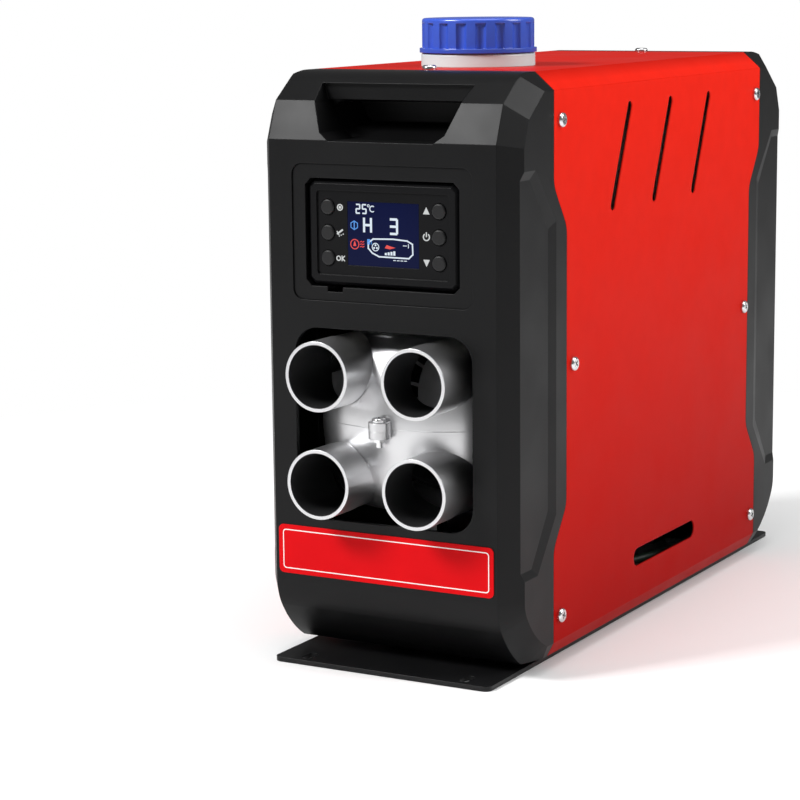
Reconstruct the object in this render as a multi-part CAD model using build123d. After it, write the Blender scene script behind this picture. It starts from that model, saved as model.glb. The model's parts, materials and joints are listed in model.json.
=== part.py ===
from build123d import *
import os
from math import atan2, cos, degrees, hypot, pi, sin, tan

# All-in-one parking air heater, drawn in millimetres with +Z up.
# While drawing, Y is the distance back from the front face and Z the height over the floor.
# The files are saved with the origin at the middle of the base plate's underside.

# Body
WIDTH = 155.0
DEPTH = 392.0
BODY_TOP = 321.2
BODY_BOTTOM = 6.5
TOP_BEVEL_X = 11.0
TOP_BEVEL_Z = 9.6
BOTTOM_BEVEL_X = 4.0
BOTTOM_BEVEL_Z = 7.8

# Side view of the moulded end covers
CREASE_HEIGHT = 285.9
SLANT_BACK = 8.0
SLANT_HEIGHT = 306.3
CROWN_BACK = 28.2
CROWN_RADIUS = 25.0
TOE_HEIGHT = 45.0
TOE_RADIUS = 30.0
TOE_TURN = 32.0
SOLE_RADIUS = 70.0
SOLE_TURN = 30.0
CORNER_BEVEL_X = 9.4
CORNER_BEVEL_Y = 13.0
COVER_WALL = 3.0
LIP_WALL = 2.2
LIP_REACH = 16.0
LIP_BITE = 7.0

# Seam between the covers and the painted shell
SEAM_END = 47.9
SEAM_MID = 63.8
SEAM_LOW = (66.0, 88.0)
SEAM_HIGH = (239.0, 262.0)
SEAM_ROUND = 14.0
SEAM_GAP = 0.3
SHEET = 1.2
SHEET_GAP = 0.15

# Shallow pads in the sides of the covers
PAD_DEPTH = 1.5
PAD_FLOOR = ((22.5, 267.0), (44.0, 239.5), (44.0, 88.5), (24.0, 60.5))
PAD_RIM = ((26.0, 271.5), (51.0, 243.0), (51.0, 85.0), (28.5, 56.0))

# Grip pockets in the tops of the covers
GRIP_BOTTOM = 285.5
GRIP_OPENING = ((31.5, 0.0), (37.5, 4.3), (43.5, 19.5), (46.0, 29.5))
GRIP_BAR_HEIGHT = 306.4
GRIP_BAR_BACK = 22.0
GRIP_DEPTH = 46.0
GRIP_DRAFT = 5.0

# Controller and its frame
PANEL_HEIGHT = 237.1
CONTROL_SIZE = (90.8, 55.8)
FRAME_SIZE = (CONTROL_SIZE[0] + 17.6, CONTROL_SIZE[1] + 17.2)
FRAME_ROUND = 6.0
FRAME_SET_BACK = 0.8
FRAME_PLATE = 1.2
FRAME_LEDGE = 3.8
FRAME_SKIRT = 1.8
FRAME_REACH = 13.0
CONTROL_CORNER = 3.5
CONTROL_SET_BACK = 1.6
CONTROL_GAP = 1.0
CONTROL_WALL = 1.6
CONTROL_LIP = 0.7
CONTROL_BEVEL = 2.0
CONTROL_DEPTH = 10.0
PANEL_SIZE = (CONTROL_SIZE[0] - 11.0, CONTROL_SIZE[1] - 10.8)
PANEL_SINK = 1.0
PANEL_PLATE = 1.6
SCREEN_SIZE = (43.0, 34.0)
SCREEN_GLASS = 1.0
DISPLAY_THICK = 3.2
BACK_DEPTH = 8.0
BUTTON_RADIUS = 4.15
BUTTON_PITCH = 13.55
BUTTON_COLUMN = CONTROL_SIZE[0] / 2 - 11.9
BUTTON_PROUD = 1.1
BUTTON_GAP = 0.25
BUTTON_FLANGE = 0.85
BUTTON_FLANGE_THICK = 0.9
BUTTON_TRAVEL = 0.5
BUTTON_FREE = 0.1
SWITCH_SIZE = 6.0
SWITCH_HEIGHT = 3.4
BOARD_THICK = 1.6
NOTCH_SIZE = (9.4, 2.6)
NOTCH_X = -28.6

# Hot-air outlets and their two-part manifold
OUTLET_HEIGHT = 133.6
OUTLET_PITCH = 58.2
TUBE_RADIUS = 18.9
TUBE_WALL = 2.0
TUBE_PROUD = 19.5
TUBE_SHOULDER = 0.4
TUBE_SHOULDER_BACK = 3.5
TUBE_BORE_BACK = 34.0
WINDOW_SIZE = (107.5, 104.6)
WINDOW_ROUND = 14.0
DOME_RADIUS = 75.0
DOME_SET_BACK = 0.5
MANIFOLD_WALL = 2.2
MANIFOLD_STRAIGHT = 48.0
MANIFOLD_TAPER_END = 64.0
MANIFOLD_END = 76.0
MANIFOLD_NECK_RADIUS = 46.8
LUG_RADIUS = 5.9
LUG_FORWARD = 3.6
UPPER_LUG = 4.7
LOWER_LUG = 4.0
SCREW_M4 = 2.0
SCREW_HOLE = 2.1
PAN_HEAD_RADIUS = 4.0
PAN_HEAD_HEIGHT = 2.4
RECESS_WIDTH = 1.0
RECESS_DEPTH = 1.3

# Label panel, left plain
LABEL_SIZE = (132.0, 27.2)
LABEL_HEIGHT = 62.4
LABEL_THICK = 0.5
LABEL_ROUND = 3.0

# Filler neck, collar and cap
CAP_CENTRE_Y = 112.0
NECK_RADIUS = 27.0
NECK_BORE = 23.5
NECK_HOLE_GAP = 1.0
COLLAR_RADIUS = 31.7
COLLAR_GAP = 0.3
COLLAR_HEIGHT = 7.2
CAP_RADIUS = 31.2
CAP_FLANGE_RADIUS = 32.6
CAP_FLANGE_HEIGHT = 2.4
CAP_HEIGHT = 18.8
CAP_TOP_WALL = 3.0
CAP_BORE_GAP = 0.5
CAP_RIBS = 18
CAP_RIB_DEPTH = 1.8
CAP_GROOVE_SHARE = 0.62
CAP_STAND_OFF = 0.3
SEAL_THICK = 2.4

# Fuel tank
TANK_WIDTH = 144.0
TANK_FRONT = 72.0
TANK_BACK = 330.0
TANK_TOP = 312.0
TANK_WALL = 3.0
TANK_ROUND = 12.0
SHELF_TOP = 205.5
SHELF_THICK = 1.5
SHELF_TAB = 12.0
SPIGOT_X = 58.0
SPIGOT_HEIGHT = SHELF_TOP + 10.5
SPIGOT_RADIUS = 4.0
SPIGOT_REACH = 10.0

# Heater core
CASING_SIZE = 118.0
CASING_ROUND = 30.0
CASING_WALL = 2.5
CASING_FRONT = 80.0
CASING_BACK = 338.0
CASING_END_WALL = 3.0
CASING_NECK_GAP = 0.4
CASING_NECK_WALL = 2.2
CASING_NECK_FRONT = 66.0
CASING_GAP = 0.3
INLET_RADIUS = 48.0
SHROUD_DEPTH = 24.0
EXCHANGER_RADIUS = 36.0
EXCHANGER_WALL = 3.5
EXCHANGER_FRONT = 104.0
EXCHANGER_BACK = 252.0
FIN_RADIUS = 52.0
FIN_THICK = 2.2
FIN_COUNT = 20
ARM_WIDTH = 10.0
ARM_THICK = 5.0
GASKET_THICK = 1.0
BURNER_RADIUS = 26.0
BURNER_WALL = 1.5
BURNER_FRONT = 125.0
BURNER_FLANGE = 4.0
BURNER_FLANGE_RADIUS = 40.0
BLOWER_RADIUS = 44.0
BLOWER_DEPTH = 17.0
BLOWER_WALL = 2.5
COMBUSTION_FAN_RADIUS = 30.0
COMBUSTION_FAN_HEIGHT = 8.0
COMBUSTION_VANES = 12
MOTOR_RADIUS = 22.0
MOTOR_WALL = 2.5
MOTOR_LENGTH = 38.0
SHAFT_RADIUS = 3.0
SHAFT_CLEARANCE = 0.05
BEARING_RADIUS = 8.0
BEARING_WIDTH = 5.0
ROTOR_RADIUS = 14.0
ROTOR_LENGTH = 18.0
AIR_FAN_RADIUS = 46.0
AIR_FAN_HUB = 16.0
AIR_FAN_WIDTH = 16.0
AIR_FAN_BLADES = 7
AIR_FAN_PITCH = 35.0
GLOW_PLUG_RADIUS = 3.2
GLOW_PLUG_Y = 242.0
SENSOR_Y = 118.0
SENSOR_RADIUS = 4.0
SENSOR_HEIGHT = 8.0
ECU_SIZE = (60.0, 40.0)
ECU_HEIGHT = SHELF_TOP - 29.5
ECU_Y = 294.0
POST_RADIUS = 2.5
CORE_LEG_Y = (84.0, 306.0)
CORE_LEG_WIDTH = 50.0
CORE_LEG_DEPTH = 14.0

# Exhaust and combustion-air stubs on the left
STUB_HEIGHT = 38.0
STUB_REACH = 22.0
EXHAUST_Y = 222.0
EXHAUST_RADIUS = 12.0
INTAKE_Y = 266.0
INTAKE_RADIUS = 11.0
STUB_WALL = 1.2
STUB_BEND = 22.0
STUB_BEAD_HEIGHT = 1.2
STUB_BEAD_WIDTH = 1.8
STUB_BEAD_GAP = 0.6
PORT_DROP = 8.0
INTAKE_PORT_BORE = 5.5
NIPPLE_END = 66.0
PORT_HOLE_GAP = 0.4
GROMMET_WALL = 3.2
GROMMET_SIDE = 1.6

# Dosing pump, filter and fuel hoses
PUMP_AT = (40.0, 118.0)
PUMP_RADIUS = 13.0
PUMP_BASE = 12.0
PUMP_LENGTH = 42.0
PUMP_INLET = 8.0
PUMP_BORE = 4.0
PISTON_CLEARANCE = 0.04
PISTON_LENGTH = 12.0
PISTON_TRAVEL = 2.0
SPRING_WIRE = 0.5
SPRING_TURNS = 6
SPRING_LENGTH = 12.0
PUMP_MOUNT_WALL = 3.5
PUMP_MOUNT_HEIGHT = 16.0
FILTER_RADIUS = 9.0
FILTER_BASE = 112.0
FILTER_LENGTH = 44.0
FILTER_Y = 354.0
HOSE_RADIUS = 2.6
HOSE_BORE = 1.6
HOSE_BEND = 13.0
HOSE_LOW = 20.0
LEAD_RADIUS = 2.2
LEAD_HEIGHT = SHELF_TOP - 7.0
LEAD_X = 22.0
LEAD_DROP = 15.0
LEAD_TURN = 5.0
TERMINAL_SIZE = (14.0, 8.0, 20.0)
TERMINAL_RISE = 32.0

# Vents and screws in the painted shell
VENT_WIDTH = 5.6
VENT_LENGTH = 63.6
VENT_LEAN = 22.8
VENT_HEIGHT = 271.7
VENT_PITCH = 57.3
VENT_MIDDLE = 191.4
LOW_SLOT_LENGTH = 90.0
LOW_SLOT_HEIGHT = 10.4
LOW_SLOT_AT = (199.3, 38.2)
SIDE_SCREWS = ((56.1, 295.8), (71.6, 164.2), (56.1, 28.2))
TOP_SCREW_BACK = 55.0
SCREW_REACH = 7.0

# Base plate and bottom pan
PLATE_THICK = 2.5
PLATE_WIDTH = 133.0
PLATE_PROUD = 7.3
PLATE_ROUND = 4.0
SLOT_WIDTH = 5.6
SLOT_LENGTH = 12.0
SLOT_SPACING = 97.6
SLOT_SET_IN = 9.2
PAN_THICK = 1.5
PAN_SIDE_GAP = 1.0
RETURN_WIDTH = 12.0
FOOT_X = 40.0
FOOT_Y = (90.0, 302.0)
FOOT_HOLE = 3.2
FOOT_SCREW = 3.0
FOOT_HEAD = 5.6
SPACER_RADIUS = 9.0
NUT_RADIUS = 5.5
NUT_HEIGHT = 5.0

# Rear guard and power gland
GUARD_RADIUS = 54.0
GUARD_RINGS = 6
GUARD_BAR = 2.4
GUARD_THICK = 3.0
GUARD_SINK = 2.0
GUARD_OPENING = 49.0
GUARD_SPOKES = 6
GLAND_AT = (-56.0, 58.0)
GLAND_RADIUS = 8.5
GLAND_BORE = 3.6
GLAND_PROUD = 12.0
GLAND_THREAD = 6.0
GLAND_NUT = 5.0

BOTTOM = (Align.CENTER, Align.CENTER, Align.MIN)

parts = {}


def along_x(sketch, start, end):
    """Extrude a sketch drawn in (Y, Z) from X = start to X = end."""
    return extrude(Plane.YZ.offset(start) * sketch, amount=end - start)


def along_y(sketch, start, end):
    """Extrude a sketch drawn in (X, Z) from Y = start back to Y = end."""
    return extrude(Plane.XZ.offset(-end) * sketch, amount=end - start)


def along_z(sketch, start, end):
    """Extrude a sketch drawn in (X, Y) from Z = start up to Z = end."""
    return extrude(Plane.XY.offset(start) * sketch, amount=end - start)


def disc(radius, u=0.0, v=0.0):
    return Pos(u, v) * Circle(radius)


def ring(outer, inner, u=0.0, v=0.0):
    return Pos(u, v) * (Circle(outer) - Circle(inner))


def polygon(points):
    return make_face(Polyline(*points, close=True))


def to_rear(shape):
    """The same moulding turned round for the other end of the heater."""
    return mirror(shape, about=Plane.XZ.offset(-DEPTH / 2))


def save(name, shape):
    solids = shape.solids()
    parts[name] = Pos(0, -DEPTH / 2, 0) * (solids[0] if len(solids) == 1 else Compound(solids))


def end_section(inset):
    """Section across the body, with its two top bevels and two bottom bevels."""
    half = WIDTH / 2
    points = [
        (half - BOTTOM_BEVEL_X, BODY_BOTTOM),
        (half, BODY_BOTTOM + BOTTOM_BEVEL_Z),
        (half, BODY_TOP - TOP_BEVEL_Z),
        (half - TOP_BEVEL_X, BODY_TOP),
    ]
    points += [(-x, z) for x, z in reversed(points)]
    face = polygon(points)
    return offset(face, amount=-inset, kind=Kind.INTERSECTION) if inset else face


def side_outline(inset, for_bevel):
    """Side view of a cover; the bevel's own outline runs straight on past the crown and sole."""
    face_line = Line((0, CREASE_HEIGHT), (0, TOE_HEIGHT))
    toe = JernArc(start=(0, TOE_HEIGHT), tangent=(0, -1), radius=TOE_RADIUS, arc_size=TOE_TURN)
    sole = JernArc(start=toe @ 1, tangent=toe % 1, radius=SOLE_RADIUS, arc_size=SOLE_TURN)
    back = DEPTH / 2
    rise = (BODY_TOP - SLANT_HEIGHT) / (CROWN_BACK - SLANT_BACK)
    if for_bevel:
        heading = sole % 1
        low = sole @ 1 + heading * (back - (sole @ 1).X) / heading.X
        high = (back, SLANT_HEIGHT + rise * (back - SLANT_BACK))
        crown = [Line(high, (SLANT_BACK, SLANT_HEIGHT))]
    else:
        low = (back, (sole @ 1).Y)
        high = (back, BODY_TOP)
        turn = atan2(BODY_TOP - SLANT_HEIGHT, CROWN_BACK - SLANT_BACK)
        run = CROWN_RADIUS * tan(turn / 2)
        before = (CROWN_BACK + run, BODY_TOP)
        after = (CROWN_BACK - run * cos(turn), BODY_TOP - run * sin(turn))
        arc = TangentArc(before, after, tangent=(-1, 0))
        crown = [Line(high, before), arc, Line(after, (SLANT_BACK, SLANT_HEIGHT))]
    slant = Line((SLANT_BACK, SLANT_HEIGHT), (0, CREASE_HEIGHT))
    edges = crown + [slant, face_line, toe, sole, Line(sole @ 1, low), Line(low, high)]
    face = make_face(edges)
    return offset(face, amount=-inset, kind=Kind.INTERSECTION) if inset else face


def cover_block(inset):
    """Solid block of a cover, every face moved in by inset."""
    half = WIDTH / 2 - inset
    block = along_x(side_outline(inset, False), -half, half)
    block &= along_y(end_section(inset), 0, DEPTH / 2)
    slope = hypot(CORNER_BEVEL_X, CORNER_BEVEL_Y)
    start = WIDTH / 2 - CORNER_BEVEL_X - inset * (slope - CORNER_BEVEL_X) / CORNER_BEVEL_Y
    lean = degrees(atan2(CORNER_BEVEL_Y, CORNER_BEVEL_X))
    outline = side_outline(inset, True)
    wedge = extrude(Plane.YZ.offset(start) * outline, amount=half - start, taper=lean)
    core = along_x(outline, -start, start)
    return block & (core + wedge + mirror(wedge, about=Plane.YZ))


def seam_region(shift):
    """Side view of everything in front of the seam, moved back by shift."""
    points = [
        (SEAM_END, SEAM_LOW[0]),
        (SEAM_MID, SEAM_LOW[1]),
        (SEAM_MID, SEAM_HIGH[0]),
        (SEAM_END, SEAM_HIGH[1]),
    ]
    face = polygon([(-DEPTH, -DEPTH), (SEAM_END, -DEPTH), *points, (SEAM_END, DEPTH), (-DEPTH, DEPTH)])
    corners = [v for v in face.vertices() if SEAM_LOW[0] - 1 < v.Y < SEAM_HIGH[1] + 1]
    return Pos(shift, 0) * fillet(corners, SEAM_ROUND)


def in_front_of_seam(shape, shift):
    return shape & along_x(seam_region(shift), -WIDTH, WIDTH)


def pad_cutter():
    """Shallow pad with sloping borders, on the right side."""
    def outline(points):
        reach = CORNER_BEVEL_Y * 2
        return polygon([(-reach, points[0][1]), *points, (-reach, points[-1][1])])
    floor = Plane.YZ.offset(WIDTH / 2 - PAD_DEPTH) * outline(PAD_FLOOR)
    rim = Plane.YZ.offset(WIDTH / 2) * outline(PAD_RIM)
    return loft([floor, rim], ruled=True)


def grip_outline(grow):
    """Front view of the grip pocket's mouth, up to its widest height."""
    right = [(x + grow, GRIP_BOTTOM + z - (grow if z == 0 else 0)) for x, z in GRIP_OPENING]
    return polygon(right + [(-x, z) for x, z in reversed(right)])


def grip_pocket(grow):
    """Finger space: a mouth in front of the bar, and a narrowing pocket under the bar."""
    mouth = along_y(grip_outline(grow), -grow, GRIP_BAR_BACK + grow)
    ceiling = GRIP_BAR_HEIGHT + grow
    under = grip_outline(grow) & Pos(0, ceiling - DEPTH / 2) * Rectangle(WIDTH, DEPTH)
    pocket = along_y(under, 0, GRIP_BAR_BACK + GRIP_DRAFT)
    narrow = offset(under, amount=-GRIP_DRAFT, kind=Kind.INTERSECTION)
    narrow = Pos(0, GRIP_DRAFT * 0.6) * narrow
    near = Plane.XZ.offset(-GRIP_BAR_BACK - GRIP_DRAFT) * under
    far = Plane.XZ.offset(-GRIP_DEPTH - grow) * narrow
    return mouth + pocket + loft([near, far], ruled=True)


def screw_holes(radius, reach):
    """Drill through both sides and the top at one cover's screws."""
    holes = []
    for y, z in SIDE_SCREWS:
        holes.append(along_x(disc(radius, y, z), -WIDTH / 2 - reach, WIDTH / 2 + reach))
    holes.append(along_z(disc(radius, 0, TOP_SCREW_BACK), BODY_TOP - 4 * reach, BODY_TOP + reach))
    return holes


def plain_cover():
    """Moulded cover shared by both ends: shell, sheet lip, side pads and grip pocket."""
    outer = cover_block(0)
    shell = outer - cover_block(COVER_WALL)
    shell = in_front_of_seam(shell, 0)
    lip_inset = SHEET + SHEET_GAP
    lip = cover_block(lip_inset) - cover_block(lip_inset + LIP_WALL)
    lip = in_front_of_seam(lip, LIP_REACH) - along_x(seam_region(-LIP_BITE), -WIDTH, WIDTH)
    cover = shell + lip
    liner = grip_pocket(COVER_WALL) & outer & along_y(Rectangle(WIDTH, 4 * DEPTH), 0, DEPTH)
    cover = cover + liner - grip_pocket(0)
    pad = pad_cutter()
    cover = cover - pad - mirror(pad, about=Plane.YZ)
    for hole in screw_holes(SCREW_HOLE, WIDTH / 8):
        cover -= hole
    return cover


def frame_window(grow):
    return Pos(0, PANEL_HEIGHT) * Rectangle(CONTROL_SIZE[0] + 2 * grow, CONTROL_SIZE[1] + 2 * grow)


def make_front_cover(cover):
    panel = Pos(0, PANEL_HEIGHT)
    seat = FRAME_SET_BACK + FRAME_PLATE
    cover -= along_y(panel * RectangleRounded(*FRAME_SIZE, FRAME_ROUND), -1, seat)
    hole = (FRAME_SIZE[0] - 2 * FRAME_LEDGE, FRAME_SIZE[1] - 2 * FRAME_LEDGE)
    cover -= along_y(panel * Rectangle(*hole), 0, 2 * COVER_WALL)
    window = Pos(0, OUTLET_HEIGHT) * RectangleRounded(*WINDOW_SIZE, WINDOW_ROUND)
    cover -= along_y(window, -1, 2 * COVER_WALL)
    save("front_cover", cover)


def make_rear_cover(cover):
    guard = Pos(0, OUTLET_HEIGHT)
    cover -= along_y(guard * Circle(GUARD_RADIUS + SEAM_GAP), -1, GUARD_SINK)
    cover -= along_y(guard * Circle(GUARD_OPENING), 0, 2 * COVER_WALL)
    cover -= along_y(disc(GLAND_THREAD + SEAM_GAP, *GLAND_AT), -1, 2 * COVER_WALL)
    save("rear_cover", to_rear(cover))


def make_rear_guard():
    step = (GUARD_OPENING - GUARD_BAR) / GUARD_RINGS
    face = Circle(GUARD_RADIUS) - Circle(GUARD_OPENING - GUARD_BAR)
    for index in range(1, GUARD_RINGS):
        face += Circle(index * step + GUARD_BAR / 2) - Circle(index * step - GUARD_BAR / 2)
    face += Circle(step)
    for index in range(GUARD_SPOKES):
        turn = 180.0 * index / GUARD_SPOKES
        face += Rot(0, 0, turn) * Rectangle(2 * GUARD_OPENING, GUARD_BAR)
    guard = along_y(Pos(0, OUTLET_HEIGHT) * face, GUARD_SINK - GUARD_THICK, GUARD_SINK)
    save("rear_guard", to_rear(guard))


def make_gland():
    """Cable gland for the supply lead: dome, threaded body and lock nut."""
    x, z = GLAND_AT
    dome = along_y(disc(GLAND_RADIUS, x, z), -GLAND_PROUD, 0)
    dome = fillet(dome.edges().sort_by(Axis.Y)[0], GLAND_RADIUS * 0.4)
    body = dome + along_y(disc(GLAND_THREAD, x, z), 0, COVER_WALL + GLAND_NUT + 2)
    body -= along_y(disc(GLAND_BORE, x, z), -2 * GLAND_PROUD, DEPTH)
    nut = Pos(x, z) * (RegularPolygon(GLAND_RADIUS + 1, 6) - Circle(GLAND_THREAD))
    nut = along_y(nut, COVER_WALL, COVER_WALL + GLAND_NUT)
    save("power_gland", Compound([to_rear(body).solid(), to_rear(nut).solid()]))


def vent_slots():
    """Three leaning vents, drawn in (Y, Z)."""
    slots = []
    for index in (-1, 0, 1):
        spot = Pos(VENT_MIDDLE + index * VENT_PITCH, VENT_HEIGHT)
        slots.append(spot * Rot(0, 0, 90 - VENT_LEAN) * SlotOverall(VENT_LENGTH, VENT_WIDTH))
    return slots


def make_housing_shell():
    """Painted sheet wrap with short returns under the body."""
    tube = along_y(end_section(0) - end_section(SHEET), 0, DEPTH)
    inner = WIDTH / 2 - BOTTOM_BEVEL_X - RETURN_WIDTH
    tube -= along_z(Rectangle(2 * inner, 4 * DEPTH), 0, BODY_BOTTOM + 2 * SHEET)
    seam = along_x(seam_region(SEAM_GAP), -WIDTH, WIDTH)
    shell = tube - seam - to_rear(seam)
    for slot in vent_slots():
        shell -= along_x(slot, -WIDTH, WIDTH)
    low_slot = Pos(*LOW_SLOT_AT) * SlotOverall(LOW_SLOT_LENGTH, LOW_SLOT_HEIGHT)
    shell -= along_x(low_slot, 0, WIDTH)
    for y, radius in stub_list():
        shell -= along_x(disc(radius + GROMMET_WALL, y, STUB_HEIGHT), -WIDTH, 0)
    neck = NECK_RADIUS + NECK_HOLE_GAP
    shell -= along_z(disc(neck, 0, CAP_CENTRE_Y), BODY_TOP - 5 * SHEET, BODY_TOP + 1)
    for hole in screw_holes(SCREW_HOLE, WIDTH / 8):
        shell = shell - hole - to_rear(hole)
    save("housing_shell", shell)


def pan_screw(recess_turn=0.0):
    """Pan-head screw standing on Z = 0 with its shank below, with a cross recess."""
    head = Cylinder(PAN_HEAD_RADIUS, PAN_HEAD_HEIGHT, align=BOTTOM)
    head = fillet(head.edges().sort_by(Axis.Z)[-1], PAN_HEAD_HEIGHT * 0.6)
    cross = Rectangle(PAN_HEAD_RADIUS, RECESS_WIDTH) + Rectangle(RECESS_WIDTH, PAN_HEAD_RADIUS)
    head -= Rot(0, 0, recess_turn) * along_z(cross, PAN_HEAD_HEIGHT - RECESS_DEPTH, PAN_HEAD_HEIGHT + 1)
    return head + along_z(Circle(SCREW_M4), -SCREW_REACH, 0)


def make_panel_screws():
    """Screws along both seams, three on each side and one on top."""
    side = []
    for index, (y, z) in enumerate(SIDE_SCREWS):
        screw = pan_screw(20.0 + 25.0 * index)
        right = Pos(WIDTH / 2, y, z) * (Rot(0, 90, 0) * screw)
        left = Pos(-WIDTH / 2, y, z) * (Rot(0, -90, 0) * screw)
        side += [right, left, to_rear(right), to_rear(left)]
    top = Pos(0, TOP_SCREW_BACK, BODY_TOP) * pan_screw(15.0)
    side += [top, to_rear(top)]
    save("panel_screws", Compound([piece.solid() for piece in side]))


def make_base():
    """Flat base plate, its spacers, its countersunk screws, and the pan that they hold."""
    plate_length = DEPTH + 2 * PLATE_PROUD
    middle = DEPTH / 2
    outline = Pos(0, middle) * RectangleRounded(PLATE_WIDTH, plate_length, PLATE_ROUND)
    slot = Rot(0, 0, 90) * SlotOverall(SLOT_LENGTH, SLOT_WIDTH)
    feet = [(x, y) for x in (-FOOT_X, FOOT_X) for y in FOOT_Y]
    for x in (-SLOT_SPACING / 2, SLOT_SPACING / 2):
        for y in (-1, 1):
            outline -= Pos(x, middle + y * (plate_length / 2 - SLOT_SET_IN)) * slot
    plate = along_z(outline, 0, PLATE_THICK)
    pan = end_section(SHEET) & Pos(0, BODY_BOTTOM + SHEET + PAN_THICK / 2) * Rectangle(WIDTH, PAN_THICK)
    pan_length = (SEAM_END + LIP_REACH + PAN_SIDE_GAP, DEPTH - SEAM_END - LIP_REACH - PAN_SIDE_GAP)
    pan = along_y(pan, *pan_length)
    spacers, screws = [], []
    pan_top = BODY_BOTTOM + SHEET + PAN_THICK
    for x, y in feet:
        hole = along_z(disc(FOOT_HOLE, x, y), -1, 2 * pan_top)
        sink = Pos(x, y, 0) * Cone(FOOT_HEAD + SEAM_GAP, FOOT_HOLE, PLATE_THICK, align=BOTTOM)
        plate = plate - hole - sink
        pan -= hole
        spacers.append(along_z(ring(SPACER_RADIUS, FOOT_HOLE, x, y), PLATE_THICK, pan_top - PAN_THICK))
        head = Pos(x, y, 0) * Cone(FOOT_HEAD, FOOT_SCREW, PLATE_THICK, align=BOTTOM)
        cross = Rectangle(FOOT_HEAD, RECESS_WIDTH) + Rectangle(RECESS_WIDTH, FOOT_HEAD)
        head -= along_z(Pos(x, y) * cross, -1, RECESS_DEPTH)
        screws.append(head + along_z(disc(FOOT_SCREW, x, y), PLATE_THICK, pan_top + NUT_HEIGHT))
        nut = Pos(x, y) * (RegularPolygon(NUT_RADIUS, 6) - Circle(FOOT_SCREW))
        screws.append(along_z(nut, pan_top, pan_top + NUT_HEIGHT))
    save("base_plate", plate)
    save("bottom_pan", pan)
    save("base_spacers", Compound([piece.solid() for piece in spacers]))
    save("base_screws", Compound([piece.solid() for piece in screws]))


def control_outline(grow):
    """Front view of the controller, a rectangle with its corners cut off."""
    face = frame_window(grow)
    return chamfer(face.vertices(), CONTROL_CORNER)


def button_spots():
    """Button names and places, as (name, X, Z)."""
    names = ("mode", "pump", "confirm"), ("up", "power", "down")
    spots = []
    for side, column in zip((-1, 1), names):
        for row, name in enumerate(column):
            spots.append((f"button_{name}", side * BUTTON_COLUMN, PANEL_HEIGHT + (1 - row) * BUTTON_PITCH))
    return spots


def make_controller():
    seat = FRAME_SET_BACK + FRAME_PLATE
    panel = Pos(0, PANEL_HEIGHT)
    frame = along_y(panel * RectangleRounded(*FRAME_SIZE, FRAME_ROUND), FRAME_SET_BACK, seat)
    skirt = control_outline(CONTROL_GAP + FRAME_SKIRT)
    frame += along_y(skirt, seat, seat + FRAME_REACH)
    frame -= along_y(control_outline(CONTROL_GAP), 0, DEPTH)
    notch_height = PANEL_HEIGHT - CONTROL_SIZE[1] / 2 - CONTROL_GAP - NOTCH_SIZE[1] / 2
    frame -= along_y(Pos(NOTCH_X, notch_height) * Rectangle(*NOTCH_SIZE), 0, DEPTH)
    save("controller_frame", frame)

    face = CONTROL_SET_BACK
    panel_face = face + PANEL_SINK
    plate_back = panel_face + PANEL_PLATE
    housing_back = face + CONTROL_DEPTH
    housing = along_y(control_outline(0), face, housing_back)
    housing = chamfer(housing.faces().sort_by(Axis.Y)[0].edges(), CONTROL_BEVEL)
    housing += along_y(control_outline(CONTROL_LIP), housing_back - CONTROL_WALL, housing_back)
    housing -= along_y(panel * RectangleRounded(*PANEL_SIZE, 2 * PANEL_SINK), 0, panel_face)
    housing -= along_y(control_outline(-CONTROL_WALL), plate_back, housing_back + 1)
    housing -= along_y(panel * Rectangle(*SCREEN_SIZE), 0, housing_back)
    for name, x, z in button_spots():
        housing -= along_y(disc(BUTTON_RADIUS + BUTTON_GAP, x, z), 0, plate_back)
    save("controller_housing", housing)

    back = along_y(control_outline(CONTROL_LIP), housing_back, housing_back + BACK_DEPTH)
    back -= along_y(control_outline(-CONTROL_WALL), 0, housing_back + BACK_DEPTH - CONTROL_WALL)
    back -= along_y(disc(LEAD_RADIUS, LEAD_X, PANEL_HEIGHT - LEAD_DROP), 0, DEPTH)
    save("controller_back", back)

    glass = (SCREEN_SIZE[0] - 2 * SHEET_GAP, SCREEN_SIZE[1] - 2 * SHEET_GAP)
    save("screen_window", along_y(panel * Rectangle(*glass), panel_face, panel_face + SCREEN_GLASS))
    display_front = panel_face + SCREEN_GLASS
    display_back = display_front + DISPLAY_THICK
    save("display_module", along_y(panel * Rectangle(*glass), display_front, display_back))

    flange_back = plate_back + BUTTON_FREE + BUTTON_FLANGE_THICK
    switch_front = flange_back + BUTTON_TRAVEL + BUTTON_FREE
    board_front = switch_front + SWITCH_HEIGHT
    inner = (CONTROL_SIZE[0] - 2 * CONTROL_WALL - 1, CONTROL_SIZE[1] - 2 * CONTROL_WALL - 1)
    board = along_y(panel * Rectangle(*inner), board_front, board_front + BOARD_THICK)
    board += along_y(panel * Rectangle(*glass), display_back, board_front)
    corner = chamfer(Rectangle(*inner).vertices(), CONTROL_CORNER)
    board &= along_y(panel * corner, 0, DEPTH)
    switches = [board]
    for name, x, z in button_spots():
        button = along_y(disc(BUTTON_RADIUS, x, z), panel_face - BUTTON_PROUD, flange_back)
        button = fillet(button.edges().sort_by(Axis.Y)[0], BUTTON_PROUD * 0.95)
        flange = disc(BUTTON_RADIUS + BUTTON_FLANGE, x, z)
        button += along_y(flange, plate_back + BUTTON_FREE, flange_back)
        save(name, button)
        case = Pos(x, z) * Rectangle(SWITCH_SIZE, SWITCH_SIZE)
        stem = along_y(disc(SWITCH_SIZE / 4, x, z), switch_front, switch_front + 1)
        switches.append(along_y(case, switch_front + 1, board_front) + stem)
    save("controller_board", Compound([piece.solid() for piece in switches]))


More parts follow.
